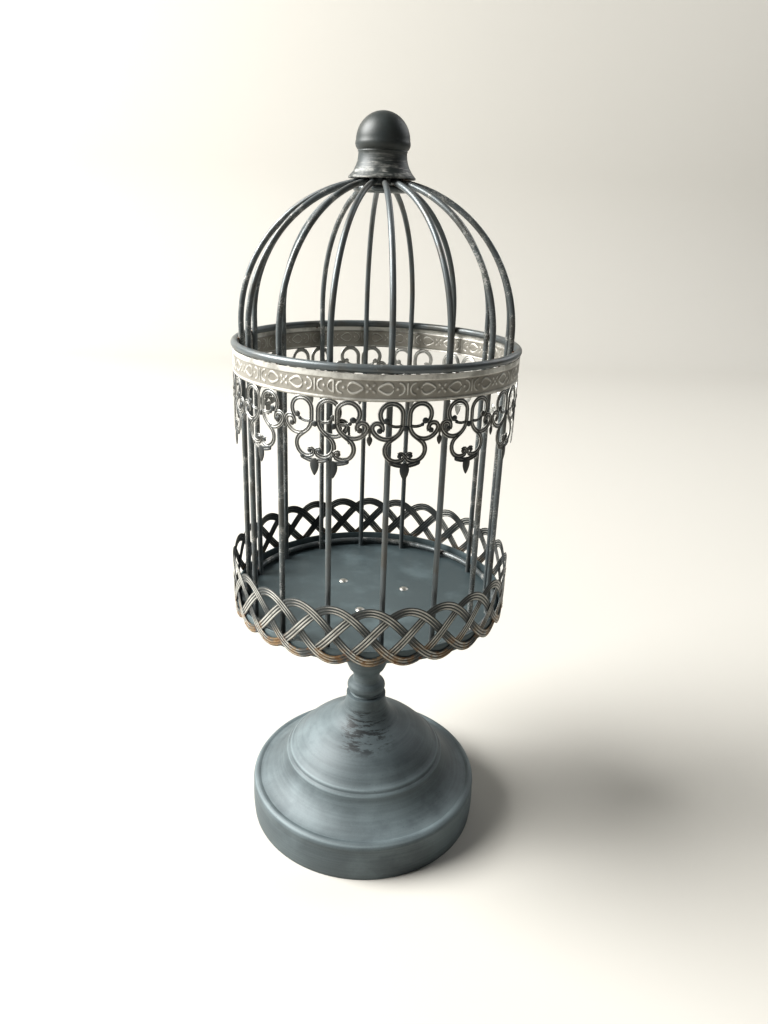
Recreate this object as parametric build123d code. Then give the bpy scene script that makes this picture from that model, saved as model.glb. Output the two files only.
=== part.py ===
"""A domed wire bird cage that lifts off a footed tray.

Millimetres, +Z up. The origin is the centre of the foot's underside.
Azimuths are in degrees from the front (-Y), positive towards +X.
"""
import os
from math import asin, atan2, cos, degrees, pi, radians, sin, sqrt

from build123d import *

# ---------------------------------------------------------------- driving dimensions
WELD_GAP = 0.05         # gap that a weld or braze would fill, between curved metal faces

# foot: a spun sheet bell
FOOT_R = 73.5           # outer radius of the upright skirt
FOOT_H = 84.0           # height of its flat top, where the stem stands
SKIRT_H = 21.0          # height of the upright skirt, up to its bead
SKIRT_BEAD = 5.0        # height of the rounded bead on the skirt
SKIRT_LEDGE = 5.0       # how far the cove starts inside the skirt
COVE_R = 51.5           # outer radius at the top of the cove
COVE_TOP = 41.0         # height of the top of the cove
STEP_R = 47.5           # outer radius of the upper of the two step beads
STEP_TOP = 46.5         # height of the top of the step beads
DOME_R = 22.5           # outer radius where the dome turns into the cone
DOME_TOP = 65.0         # height where the dome turns into the cone
FOOT_NECK_R = 12.6      # outer radius of the cone at the foot's top
FOOT_WALL = 1.2
FOOT_LIP = 4.0          # width of the lip turned in under the skirt

# stem: a turned baluster on the foot
STEM_H = 61.0
STEM_BASE_R = 10.4
STEM_BEAD_R = 12.1
STEM_NECK_R = 8.8
STEM_VASE_R = 15.0
STEM_TOP_R = 10.0

# fixing that draws the foot, the stem and the cup together
STUD_D = 3.5
HOLE_ROOM = 0.4         # a clearance hole's diameter over its rod's or screw's
STUD_END = 1.2          # thread left showing beyond each nut
NUT_AF = 8.0
NUT_H = 2.8
WASHER_R = 7.5
WASHER_T = 1.2

# cup under the tray
CUP_BOWL_R = 17.0
CUP_FLANGE_W = 12.0     # width of the flange round the bowl
CUP_DEPTH = 9.5
CUP_WALL = 1.2

# tray: a round pan with a low upright rim
TRAY_WALL = 1.0
TRAY_PLAY = 1.55        # gap between the cage's base ring and the tray's rim
TRAY_RIM_H = 7.9        # height of the rim over the underside
TRAY_CORNER_R = 1.6
RIVET_COUNT = 3
RIVET_OUT = 5.5         # how far the rivets are outside the bowl
RIVET_AZ = -13.0
RIVET_D = 3.0
RIVET_HEAD_D = 5.6
RIVET_HEAD_H = 1.1

# gallery: a pierced strip of interlaced waves round the tray's rim
GALLERY_H = 34.0
GALLERY_T = 1.2
GALLERY_DROP = 0.65     # how far the strip hangs below the tray's underside
GALLERY_LOBES = 26
GALLERY_AZ = 1.0        # azimuth of one lobe
GALLERY_STRAND = 4.0    # width of one wave
GALLERY_WAVES = 4       # waves in the plait, each this many lobes long

# cage wires
BAR_D = 3.0
BAR_COUNT = 16
BAR_AZ = 5.6            # azimuth of the first bar
BAR_CIRCLE_R = 72.5     # radius of the circle of bar centres
BAR_STRAIGHT = 160.5    # upright length of a bar, over the tray's floor
HUB_R = 12.0            # radius at which the bars end, over the dome
HOOP_D = 4.0
HOOP_DROP = 8.6         # how far the hoop's centre is below the spring of the dome
BASE_RING_D = 3.5
BASE_RING_LIFT = 0.9    # gap under the base ring, over the tray's floor
HUB_RING_D = 3.0
HUB_RING_OUT = 1.0      # how far the ring's centre is outside the bars' ends

# band: one stamped strip under the hoop, a frieze with a scrolled valance
BAND_T = 0.9
BAND_GAP = 0.5          # gap between the hoop and the strip's top edge
FRIEZE_H = 12.2
BEAD_H = 1.4            # height of the raised line along each edge of the frieze
BEAD_OUT = 0.4          # how far it stands proud
MOTIF_COUNT = 14
MOTIF_AZ = 11.2         # azimuth of one motif
SCROLL_W = 2.2          # width of the scrolled strand
SMALL_W = 1.4           # width of its thinner ends
SCROLL_SET = 0.1        # how far the scrolls stand out from the frieze's own wall
SCROLL_LAP = 0.5        # how far one scroll runs into the next, or into the frieze
TWIN_X = 1.65           # from the motif's middle to each of its two upright strands
RING_R = 5.3            # centre radius of the round scroll at a strand's top
SIDE_DROP = 10.4        # depth, below the frieze, of the centre of the wide curve to the side
CURL_R = 2.45           # centre radius of the curl that the side curve ends in
CURL_ANGLE = -25.0      # where the curl leaves the side curve
BRANCH_ANGLE = 232.0    # where the heart's branch leaves the side curve
BRANCH_RUN = 4.0        # straight length of the branch
HEART_R = 5.5
HEART_END = -125.0      # where the heart turns into its small curl
SMALL_CURL_R = 1.5
BALL_R = 1.4            # radius of the round ends
COLLAR_W = 13.6
COLLAR_H = 3.0
PENDANT_W = 4.8
PENDANT_L = 8.8
DROP_W = 2.8
DROP_L = 4.8
DROP_DROP = 16.2        # depth at which the drop between two motifs starts

# finial and its fixing
FINIAL_BALL_R = 13.5
FINIAL_NECK_R = 12.2
FINIAL_FLANGE_R = 17.0
FINIAL_LIP = 0.8
FINIAL_SKIRT_H = 12.0   # from the flange's edge up to the neck
FINIAL_STRAIGHT = 5.5   # upright part between the neck and the round top
FINIAL_HOLLOW = 4.5     # depth of the recess under the flange
FINIAL_BOSS_R = 8.0
HUB_PLATE_T = 2.4
SCREW_D = 4.0
SCREW_HEAD_D = 7.6
SCREW_HEAD_H = 2.6
SCREW_BITE = 12.0       # length of thread in the finial
SCREW_WASHER_R = 6.0
SCREW_WASHER_T = 1.0

# ---------------------------------------------------------------- derived places
BAR_R = BAR_D / 2
BAR_OUT_R = BAR_CIRCLE_R + BAR_R
BASE_RING_R = BAR_OUT_R + WELD_GAP + BASE_RING_D / 2
TRAY_RIM_IN_R = BASE_RING_R + BASE_RING_D / 2 + TRAY_PLAY
STUD_HOLE_D = STUD_D + HOLE_ROOM
SCREW_HOLE_D = SCREW_D + HOLE_ROOM
CUP_R = CUP_BOWL_R + CUP_FLANGE_W
RIVET_CIRCLE_R = CUP_BOWL_R + RIVET_OUT
HUB_RING_R = HUB_R + HUB_RING_OUT
STEM_Z = FOOT_H
CUP_Z = STEM_Z + STEM_H
TRAY_Z = CUP_Z + CUP_DEPTH
FLOOR_Z = TRAY_Z + TRAY_WALL
RIM_OUT_R = TRAY_RIM_IN_R + TRAY_WALL
GALLERY_IN_R = RIM_OUT_R + WELD_GAP
GALLERY_OUT_R = GALLERY_IN_R + GALLERY_T
GALLERY_Z = TRAY_Z - GALLERY_DROP
GALLERY_RISE = (GALLERY_H - GALLERY_STRAND) / 2
LOBE_PITCH = 2 * pi * GALLERY_OUT_R / GALLERY_LOBES
SPRING_Z = FLOOR_Z + BAR_STRAIGHT
HUB_Z = SPRING_Z + sqrt(BAR_CIRCLE_R ** 2 - HUB_R ** 2)
HOOP_Z = SPRING_Z - HOOP_DROP
HOOP_R = BAR_OUT_R + WELD_GAP + HOOP_D / 2
BASE_RING_Z = FLOOR_Z + BASE_RING_LIFT + BASE_RING_D / 2
BAND_TOP = HOOP_Z - HOOP_D / 2 - BAND_GAP
FRIEZE_Z = BAND_TOP - FRIEZE_H
BAND_IN_R = HOOP_R
BAND_OUT_R = BAND_IN_R + BAND_T
PLATE_TOP = HUB_Z + BAR_R
FLANGE_Z = PLATE_TOP


def at_azimuth(azimuth, piece):
    """Turn a piece that was made at the front round to an azimuth."""
    return Rot(0, 0, azimuth) * piece


def turned(*edges):
    """Revolve a closed outline, drawn as radius and height, round the centre line."""
    section = Plane.XZ * make_face(edges)
    return revolve(section, Axis.Z)


def bowed(start, end, rise):
    """An arc from start to end; its middle stands off the chord, to the right of the way it goes."""
    dx, dz = end[0] - start[0], end[1] - start[1]
    length = sqrt(dx * dx + dz * dz)
    middle = ((start[0] + end[0]) / 2, (start[1] + end[1]) / 2)
    return ThreePointArc(start, (middle[0] + rise * dz / length, middle[1] - rise * dx / length), end)


def crown_arc(edge, crown):
    """The arc of a shallow dome, from its edge to its crown on the centre line."""
    rise = crown[1] - edge[1]
    radius = (edge[0] ** 2 + rise ** 2) / (2 * rise)
    half = asin(edge[0] / abs(radius)) / 2
    middle = (abs(radius) * sin(half), crown[1] - radius * (1 - cos(half)))
    return ThreePointArc(edge, middle, crown)


def corner_arc(start, end):
    """A quarter turn between an upright and a level line of the pan."""
    rise = sqrt(2) / 2 * abs(end[0] - start[0]) * (sqrt(2) - 1)
    way = 1 if end[1] > start[1] else -1
    return bowed(start, end, way * rise)


def wall(inner_r, outer_r, z_low, z_high):
    """A plain upright tube wall."""
    ring = Circle(outer_r) - Circle(inner_r)
    return extrude(Pos(0, 0, z_low) * ring, z_high - z_low)


def wire_ring(radius, diameter, z):
    """A round wire bent into a flat ring."""
    return Pos(0, 0, z) * Torus(radius, diameter / 2)


# ---------------------------------------------------------------- foot and stem
def foot():
    """A bell spun from sheet: skirt, bead, cove, two step beads, dome and cone, open below."""
    bead_top = SKIRT_H + SKIRT_BEAD
    ledge = (FOOT_R - SKIRT_LEDGE, bead_top - 0.6)
    cove = (COVE_R, COVE_TOP)
    step = ((COVE_R + STEP_R) / 2, (COVE_TOP + STEP_TOP) / 2)
    dome_foot = (STEP_R - 0.6, STEP_TOP)
    dome = (DOME_R, DOME_TOP)
    neck = (FOOT_NECK_R, FOOT_H)
    hem = (FOOT_R - 0.6, 0)
    skirt = (FOOT_R - 0.5, SKIRT_H)
    bead = (ledge[0] + 1.5, bead_top)
    shape = turned(
        Line((0, 0), hem),
        ThreePointArc(hem, (FOOT_R, SKIRT_H / 2), skirt),
        ThreePointArc(skirt, (FOOT_R - 1.0, bead_top - 1.4), bead),
        Line(bead, ledge),
        bowed(ledge, cove, -2.4),
        bowed(cove, step, 0.5),
        bowed(step, dome_foot, 0.5),
        bowed(dome_foot, dome, 2.0),
        bowed(dome, neck, -3.0),
        Line(neck, (0, FOOT_H)),
        Line((0, FOOT_H), (0, 0)),
    )
    inner_skirt = FOOT_R - 0.6 - FOOT_WALL
    inner_ledge = (ledge[0] - 0.6, ledge[1] - FOOT_WALL - 0.6)
    inner_cove = (COVE_R - FOOT_WALL - 0.4, COVE_TOP - 0.2)
    inner_step = (STEP_R - 1.6, STEP_TOP - FOOT_WALL - 0.6)
    inner_dome = (DOME_R - 0.9, DOME_TOP - FOOT_WALL)
    inner_neck = (FOOT_NECK_R - FOOT_WALL - 0.2, FOOT_H - FOOT_WALL)
    lip_r = FOOT_R - 0.6 - FOOT_LIP
    hollow = turned(
        Line((0, 0), (lip_r, 0)),
        Line((lip_r, 0), (lip_r, FOOT_WALL)),
        Line((lip_r, FOOT_WALL), (inner_skirt, FOOT_WALL)),
        Line((inner_skirt, FOOT_WALL), (inner_skirt, SKIRT_H)),
        Line((inner_skirt, SKIRT_H), inner_ledge),
        bowed(inner_ledge, inner_cove, -2.4),
        Line(inner_cove, inner_step),
        bowed(inner_step, inner_dome, 2.0),
        bowed(inner_dome, inner_neck, -3.0),
        Line(inner_neck, (0, FOOT_H - FOOT_WALL)),
        Line((0, FOOT_H - FOOT_WALL), (0, 0)),
    )
    return shape - hollow - bolt_hole(STUD_HOLE_D, FOOT_H - FOOT_WALL, FOOT_H)


def stem():
    """A turned baluster: base, bead, neck, vase and top, bored for the stud."""
    z = STEM_Z
    vase_z = z + 0.53 * STEM_H
    top_z = z + STEM_H
    body = turned(
        Line((0, z), (STEM_BASE_R, z)),
        Line((STEM_BASE_R, z), (STEM_BASE_R, z + 0.8)),
        bowed((STEM_BASE_R, z + 0.8), (STEM_BASE_R, z + 2.6), -0.5),
        bowed((STEM_BASE_R, z + 2.6), (STEM_BASE_R - 0.4, z + 9.2), STEM_BEAD_R - STEM_BASE_R + 0.2),
        Line((STEM_BASE_R - 0.4, z + 9.2), (STEM_NECK_R, z + 10.0)),
        bowed((STEM_NECK_R, z + 10.0), (STEM_NECK_R + 2.4, z + 19.0), -1.4),
        bowed((STEM_NECK_R + 2.4, z + 19.0), (STEM_VASE_R, vase_z), 0.6),
        bowed((STEM_VASE_R, vase_z), (STEM_NECK_R, top_z - 9.0), -2.2),
        bowed((STEM_NECK_R, top_z - 9.0), (STEM_NECK_R, top_z - 4.0), 1.6),
        bowed((STEM_NECK_R, top_z - 4.0), (STEM_TOP_R, top_z), -0.8),
        Line((STEM_TOP_R, top_z), (0, top_z)),
        Line((0, top_z), (0, z)),
    )
    return body - bolt_hole(STUD_HOLE_D, z, top_z)


# ---------------------------------------------------------------- cup and fixings
def cup():
    """A shallow spun cup whose flange carries the tray."""
    z = CUP_Z
    top = z + CUP_DEPTH
    flat_r = CUP_BOWL_R - CUP_WALL - 5.0
    shape = turned(
        Line((0, z), (flat_r, z)),
        bowed((flat_r, z), (CUP_BOWL_R, top - CUP_WALL), 1.6),
        Line((CUP_BOWL_R, top - CUP_WALL), (CUP_R, top - CUP_WALL)),
        Line((CUP_R, top - CUP_WALL), (CUP_R, top)),
        Line((CUP_R, top), (0, top)),
        Line((0, top), (0, z)),
    )
    inner_r = CUP_BOWL_R - CUP_WALL
    hollow = turned(
        Line((0, z + CUP_WALL), (flat_r - 0.5, z + CUP_WALL)),
        bowed((flat_r - 0.5, z + CUP_WALL), (inner_r, top), 1.6),
        Line((inner_r, top), (0, top)),
        Line((0, top), (0, z + CUP_WALL)),
    )
    holes = rivet_places(bolt_hole(RIVET_D + 2 * WELD_GAP, top - CUP_WALL, top))
    return shape - hollow - bolt_hole(STUD_HOLE_D, z, z + CUP_WALL) - holes


def rivet_places(piece):
    """Copies of a piece made on the centre line, one for each rivet."""
    turns = [RIVET_AZ + k * 360 / RIVET_COUNT for k in range(RIVET_COUNT)]
    return [at_azimuth(turn, Pos(0, -RIVET_CIRCLE_R, 0) * piece) for turn in turns]


def tray_rivets():
    """Domed rivets down through the tray's floor and the cup's flange."""
    low = TRAY_Z - CUP_WALL
    shank_r = RIVET_D / 2
    head_r = RIVET_HEAD_D / 2
    crown = (0, FLOOR_Z + RIVET_HEAD_H)
    tail = (0, low - RIVET_HEAD_H)
    rivet = turned(
        Line(crown, tail),
        crown_arc((head_r, low), tail),
        Line((head_r, low), (shank_r, low)),
        Line((shank_r, low), (shank_r, FLOOR_Z)),
        Line((shank_r, FLOOR_Z), (head_r, FLOOR_Z)),
        crown_arc((head_r, FLOOR_Z), crown),
    )
    return Compound(children=rivet_places(rivet))


def stud():
    """A threaded rod from the nut in the foot to the nut in the cup."""
    low = FOOT_H - FOOT_WALL - WASHER_T - NUT_H - STUD_END
    high = CUP_Z + CUP_WALL + WASHER_T + NUT_H + STUD_END
    return bolt_hole(STUD_D, low, high)


def nut(z):
    """A hexagon nut whose underside lies at z."""
    hexagon = RegularPolygon(NUT_AF / 2, 6, major_radius=False)
    body = extrude(Pos(0, 0, z) * hexagon, NUT_H)
    return body - bolt_hole(STUD_D + 2 * WELD_GAP, z, z + NUT_H)


def washer(outer_r, hole_d, z, thickness):
    """A flat washer whose underside lies at z."""
    return wall(hole_d / 2, outer_r, z, z + thickness)


def bolt_hole(diameter, z_low, z_high):
    """A plain round rod on the centre line, to cut with or to keep."""
    rod = Cylinder(diameter / 2, z_high - z_low, align=(Align.CENTER, Align.CENTER, Align.MIN))
    return Pos(0, 0, z_low) * rod


# ---------------------------------------------------------------- tray and gallery
def tray():
    """A round pan: flat floor, small round corner, low upright rim."""
    z = TRAY_Z
    outer_c = TRAY_CORNER_R + TRAY_WALL
    body = turned(
        Line((0, z), (RIM_OUT_R - outer_c, z)),
        corner_arc((RIM_OUT_R - outer_c, z), (RIM_OUT_R, z + outer_c)),
        Line((RIM_OUT_R, z + outer_c), (RIM_OUT_R, z + TRAY_RIM_H)),
        Line((RIM_OUT_R, z + TRAY_RIM_H), (TRAY_RIM_IN_R, z + TRAY_RIM_H)),
        Line((TRAY_RIM_IN_R, z + TRAY_RIM_H), (TRAY_RIM_IN_R, FLOOR_Z + TRAY_CORNER_R)),
        corner_arc((TRAY_RIM_IN_R, FLOOR_Z + TRAY_CORNER_R), (TRAY_RIM_IN_R - TRAY_CORNER_R, FLOOR_Z)),
        Line((TRAY_RIM_IN_R - TRAY_CORNER_R, FLOOR_Z), (0, FLOOR_Z)),
        Line((0, FLOOR_Z), (0, z)),
    )
    return body - rivet_places(bolt_hole(RIVET_D + 2 * WELD_GAP, z, FLOOR_Z))


def gallery():
    """A strip cut as a plait of waves: rounded gaps along both edges, diamonds between."""
    middle = GALLERY_Z + GALLERY_H / 2
    half = [lobe_gap(), notch()]
    cuts = [radial(Pos(0, middle) * flat, GALLERY_OUT_R) for flat in [diamond()] + half]
    cuts += [radial(Pos(0, middle) * mirror(flat, Plane.XZ), GALLERY_OUT_R) for flat in half]
    step = 360 / GALLERY_LOBES
    tools = [at_azimuth(GALLERY_AZ + k * step, cut) for k in range(GALLERY_LOBES) for cut in cuts]
    edge = 0.05
    return wall(GALLERY_IN_R, GALLERY_OUT_R, GALLERY_Z + edge, GALLERY_Z + GALLERY_H - edge) - tools


def wave_edge(crest, side, x):
    """Height at x of a wave's upper (side 1) or lower (side -1) edge; its crest is that many lobes on."""
    turn = 2 * pi * (x / LOBE_PITCH - crest) / GALLERY_WAVES
    slope = -GALLERY_RISE * sin(turn) * 2 * pi / (GALLERY_WAVES * LOBE_PITCH)
    return GALLERY_RISE * cos(turn) + side * GALLERY_STRAND / 2 * sqrt(1 + slope ** 2)


def meeting(low, high, gap):
    """The x between low and high where gap(x) turns from positive to negative."""
    for _ in range(40):
        x = (low + high) / 2
        low, high = (x, high) if gap(x) > 0 else (low, x)
    return low


def lobe_gap():
    """The gap under a lobe: a round top on two straight sides."""
    x = meeting(0, LOBE_PITCH / 2, lambda x: wave_edge(0, -1, x) - wave_edge(1, 1, x))
    right = (x, wave_edge(0, -1, x))
    left = (-x, right[1])
    foot_point = (0, wave_edge(1, 1, 0))
    arch = ThreePointArc(right, (0, wave_edge(0, -1, 0)), left)
    return make_face([arch, Line(left, foot_point), Line(foot_point, right)])


def diamond():
    """The large gap between two lobes."""
    x = meeting(0, LOBE_PITCH / 2, lambda x: -wave_edge(1, -1, x))
    top = wave_edge(1, -1, LOBE_PITCH / 2)
    centre = LOBE_PITCH / 2
    return make_face(Polyline((x, 0), (centre, top), (2 * centre - x, 0), (centre, -top), close=True))


def notch():
    """The notch in the strip's edge between two lobes, open upward."""
    top = wave_edge(0, 1, 0)
    valley = (LOBE_PITCH / 2, wave_edge(0, 1, LOBE_PITCH / 2))
    flank = LOBE_PITCH / 4
    left = ThreePointArc((0, top), (flank, wave_edge(0, 1, flank)), valley)
    right = ThreePointArc(valley, (LOBE_PITCH - flank, wave_edge(0, 1, flank)), (LOBE_PITCH, top))
    over = Polyline((LOBE_PITCH, top), (LOBE_PITCH, top + 1), (0, top + 1), (0, top))
    return make_face([left, right, over])


def radial(flat, radius):
    """Raise a flat shape, drawn in XY, into a prism through the wall at the front."""
    upright = Rot(90, 0, 0) * extrude(flat, radius)
    return Pos(0, -radius / 2, 0) * upright


# ---------------------------------------------------------------- cage wires
def bar():
    """The bar at the front: straight up from the tray, then bent in a round to the hub."""
    straight = bolt_hole(BAR_D, FLOOR_Z, SPRING_Z)
    bend = degrees(atan2(HUB_Z - SPRING_Z, HUB_R))
    pivot = Axis((0, 0, SPRING_Z), (-1, 0, 0))
    section = Pos(0, -BAR_CIRCLE_R, SPRING_Z) * Circle(BAR_R)
    return Pos(0, -BAR_CIRCLE_R, 0) * straight + revolve(section, pivot, bend)


def base_ring():
    """The ring just over the tray's floor, outside the bars."""
    return wire_ring(BASE_RING_R, BASE_RING_D, BASE_RING_Z)


def rim_hoop():
    """The heavier hoop round the bars, under the dome."""
    return wire_ring(HOOP_R, HOOP_D, HOOP_Z)


# ---------------------------------------------------------------- frieze and valance
def band():
    """One stamped strip: a frieze with a raised line along each edge, and its valance."""
    line_r = BAND_OUT_R + BEAD_OUT
    frieze = turned(Polyline(
        (BAND_IN_R, FRIEZE_Z),
        (line_r, FRIEZE_Z),
        (line_r, FRIEZE_Z + BEAD_H),
        (BAND_OUT_R, FRIEZE_Z + BEAD_H),
        (BAND_OUT_R, BAND_TOP - BEAD_H),
        (line_r, BAND_TOP - BEAD_H),
        (line_r, BAND_TOP),
        (BAND_IN_R, BAND_TOP),
        close=True,
    ))
    flat = motif()
    lowest = FRIEZE_Z + flat.bounding_box().min.Y - 1
    strip = wall(BAND_IN_R + SCROLL_SET, BAND_OUT_R + SCROLL_SET, lowest, FRIEZE_Z + SCROLL_LAP)
    scrolls = strip & radial(Pos(0, FRIEZE_Z) * flat, line_r)
    step = 360 / MOTIF_COUNT
    between = at_azimuth(MOTIF_AZ + step / 2 - 90, frieze)
    return between + [at_azimuth(MOTIF_AZ + k * step, scrolls) for k in range(MOTIF_COUNT)]


def side_radius(half_pitch):
    """Centre radius of the side curve, so that its curl laps the next motif's."""
    share = cos(radians(CURL_ANGLE))
    reach = half_pitch + SCROLL_LAP / 2 - SCROLL_W / 2 - CURL_R - TWIN_X
    return (reach + CURL_R * share) / (1 + share)


def motif():
    """One motif of the valance, drawn flat below the frieze's lower edge."""
    half_pitch = pi * BAND_OUT_R / MOTIF_COUNT
    side_r = side_radius(half_pitch)
    ring = (TWIN_X + RING_R, SCROLL_LAP - SCROLL_W / 2 - RING_R)
    side = (TWIN_X + side_r, -SIDE_DROP)
    curl = at_angle(side, side_r - CURL_R, CURL_ANGLE)
    branch = at_angle(side, side_r, BRANCH_ANGLE)
    branch_end = at_angle(branch, BRANCH_RUN, BRANCH_ANGLE + 90)
    heart = at_angle(branch_end, HEART_R, BRANCH_ANGLE)
    small = at_angle(heart, HEART_R - SMALL_CURL_R, HEART_END)
    arm = (ring[0] - 2.4, ring[1] + 1.0)
    arm_r = 6.6
    half = Sketch() + [
        strand(ring, RING_R, -52, 184),
        run((TWIN_X, ring[1]), (TWIN_X, side[1])),
        strand(side, side_r, 178, 360 + CURL_ANGLE),
        strand(curl, CURL_R, CURL_ANGLE, CURL_ANGLE + 235),
        run(branch, branch_end),
        strand(heart, HEART_R, HEART_END, BRANCH_ANGLE - 180),
        strand(small, SMALL_CURL_R, HEART_END - 195, HEART_END, SMALL_W),
        strand(arm, arm_r, 246, 300, SMALL_W),
        round_end(at_angle(ring, RING_R - 1.6, -52), 1.1 * BALL_R),
        round_end(at_angle(curl, CURL_R - 0.8, CURL_ANGLE + 250), BALL_R),
        round_end(at_angle(small, 0.6, HEART_END - 205), 0.8 * BALL_R),
        round_end(at_angle(arm, arm_r, 300), 0.7 * BALL_R),
    ]
    heart_low = heart[1] - HEART_R - SCROLL_W / 2
    collar = Pos(0, heart_low + SCROLL_LAP - COLLAR_H / 2) * Rectangle(COLLAR_W, COLLAR_H)
    pendant = Pos(0, heart_low + SCROLL_LAP) * teardrop(PENDANT_W, PENDANT_L)
    knot = round_end((0, side[1] - 2.2), 1.1 * BALL_R)
    neck = run((-half_pitch, curl[1]), (-half_pitch, -DROP_DROP - SCROLL_LAP), SMALL_W)
    drop = Pos(-half_pitch, -DROP_DROP) * teardrop(DROP_W, DROP_L)
    return Sketch() + [half, mirror(half, Plane.YZ), knot, collar, pendant, neck, drop]


def at_angle(centre, radius, angle):
    """The place at a distance and an angle in degrees from a centre."""
    return (centre[0] + radius * cos(radians(angle)), centre[1] + radius * sin(radians(angle)))


def strand(centre, radius, start, end, width=SCROLL_W):
    """A strand of the scrollwork bent to an arc, between two angles in degrees."""
    return Pos(*centre) * trace(CenterArc((0, 0), radius, start, end - start), width)


def run(start, end, width=SCROLL_W):
    """A straight strand of the scrollwork."""
    return trace(Line(start, end), width)


def round_end(centre, radius):
    """The round end of a curl."""
    return Pos(*centre) * Circle(radius)


def teardrop(width, length):
    """A drop that hangs from its round top, with its point down."""
    half = width / 2
    shoulder = -0.35 * length
    point = (0, -length)
    left = (-half, shoulder)
    right = (half, shoulder)
    crown = ThreePointArc(right, (0, 0), left)
    return make_face([crown, bowed(left, point, -0.2 * half), bowed(point, right, -0.2 * half)])


# ---------------------------------------------------------------- hub and finial
def hub_ring():
    """The small ring under the tops of the bars."""
    bar_bottom = SPRING_Z + sqrt((BAR_CIRCLE_R - BAR_R) ** 2 - HUB_RING_R ** 2)
    return wire_ring(HUB_RING_R, HUB_RING_D, bar_bottom - WELD_GAP - HUB_RING_D / 2)


def hub_plate():
    """The disc that the bars' ends are welded to."""
    lean = HUB_R / BAR_CIRCLE_R
    radius = HUB_R - BAR_R * lean - WELD_GAP
    return washer(radius, SCREW_HOLE_D, PLATE_TOP - HUB_PLATE_T, HUB_PLATE_T)


def hub_screw():
    """A round-headed screw up through the disc into the finial."""
    seat = PLATE_TOP - HUB_PLATE_T - SCREW_WASHER_T
    head = turned(
        Line((0, seat - SCREW_HEAD_H), (0, seat)),
        Line((0, seat), (SCREW_HEAD_D / 2, seat)),
        crown_arc((SCREW_HEAD_D / 2, seat), (0, seat - SCREW_HEAD_H)),
    )
    slot = Pos(0, 0, seat - SCREW_HEAD_H) * Box(SCREW_HEAD_D, 1.0, 2.4)
    return head + bolt_hole(SCREW_D, seat, PLATE_TOP + SCREW_BITE) - slot


def finial():
    """A hollow-flanged knob: a ball on a neck that flares to a thin lip."""
    neck_z = FLANGE_Z + FINIAL_SKIRT_H
    ball_z = neck_z + FINIAL_STRAIGHT
    lip = (FINIAL_FLANGE_R, FLANGE_Z + FINIAL_LIP)
    neck = (FINIAL_NECK_R, neck_z)
    ball = (FINIAL_BALL_R, ball_z)
    recess_r = FINIAL_FLANGE_R - 1.4
    body = turned(
        Line((0, FLANGE_Z), (FINIAL_FLANGE_R, FLANGE_Z)),
        Line((FINIAL_FLANGE_R, FLANGE_Z), lip),
        bowed(lip, neck, -1.3),
        bowed(neck, ball, 1.1),
        ThreePointArc(ball, (FINIAL_BALL_R * cos(pi / 4), ball_z + FINIAL_BALL_R * sin(pi / 4)),
                      (0, ball_z + FINIAL_BALL_R)),
        Line((0, ball_z + FINIAL_BALL_R), (0, FLANGE_Z)),
    )
    recess = turned(
        Line((FINIAL_BOSS_R, FLANGE_Z), (recess_r, FLANGE_Z)),
        bowed((recess_r, FLANGE_Z), (FINIAL_BOSS_R + 1.0, FLANGE_Z + FINIAL_HOLLOW), -0.8),
        Line((FINIAL_BOSS_R + 1.0, FLANGE_Z + FINIAL_HOLLOW), (FINIAL_BOSS_R, FLANGE_Z + FINIAL_HOLLOW)),
        Line((FINIAL_BOSS_R, FLANGE_Z + FINIAL_HOLLOW), (FINIAL_BOSS_R, FLANGE_Z)),
    )
    bore = bolt_hole(SCREW_D + 2 * WELD_GAP, FLANGE_Z, PLATE_TOP + SCREW_BITE + 0.5)
    return body - recess - bore


# ---------------------------------------------------------------- build
def main():
    foot_nut_z = FOOT_H - FOOT_WALL - WASHER_T - NUT_H
    cup_floor = CUP_Z + CUP_WALL
    pieces = {
        "foot": foot(),
        "stem": stem(),
        "stud": stud(),
        "foot_washer": washer(WASHER_R, STUD_HOLE_D, foot_nut_z + NUT_H, WASHER_T),
        "foot_nut": nut(foot_nut_z),
        "cup": cup(),
        "cup_washer": washer(WASHER_R, STUD_HOLE_D, cup_floor, WASHER_T),
        "cup_nut": nut(cup_floor + WASHER_T),
        "tray": tray(),
        "tray_rivets": tray_rivets(),
        "gallery": gallery(),
        "base_ring": base_ring(),
        "rim_hoop": rim_hoop(),
        "band": band(),
        "hub_ring": hub_ring(),
        "hub_plate": hub_plate(),
        "hub_washer": washer(SCREW_WASHER_R, SCREW_HOLE_D, PLATE_TOP - HUB_PLATE_T - SCREW_WASHER_T,
                             SCREW_WASHER_T),
        "hub_screw": hub_screw(),
        "finial": finial(),
    }
    front_bar = bar()
    for k in range(BAR_COUNT):
        pieces[f"bar_{k + 1:02d}"] = at_azimuth(BAR_AZ + k * 360 / BAR_COUNT, front_bar)
    os.makedirs("parts", exist_ok=True)
    for name, piece in pieces.items():
        export_step(piece, f"parts/{name}.step")
        print(f"{name:14s} {piece.volume:10.1f} mm3")


main()
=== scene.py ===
# %% [markdown]
# # A domed wire bird cage on a footed tray
# The construction is already made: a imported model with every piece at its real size.
# This lesson gives the same pieces their finished look, one cell at a time.
# Everything is in metres, with +Z up, the front at -Y and the origin under the foot.

# %% Load the frame
from math import asin, atan2, cos, degrees, hypot, pi, radians, sin, sqrt

import bmesh
import bpy
from mathutils import Matrix, Vector, noise


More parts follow.
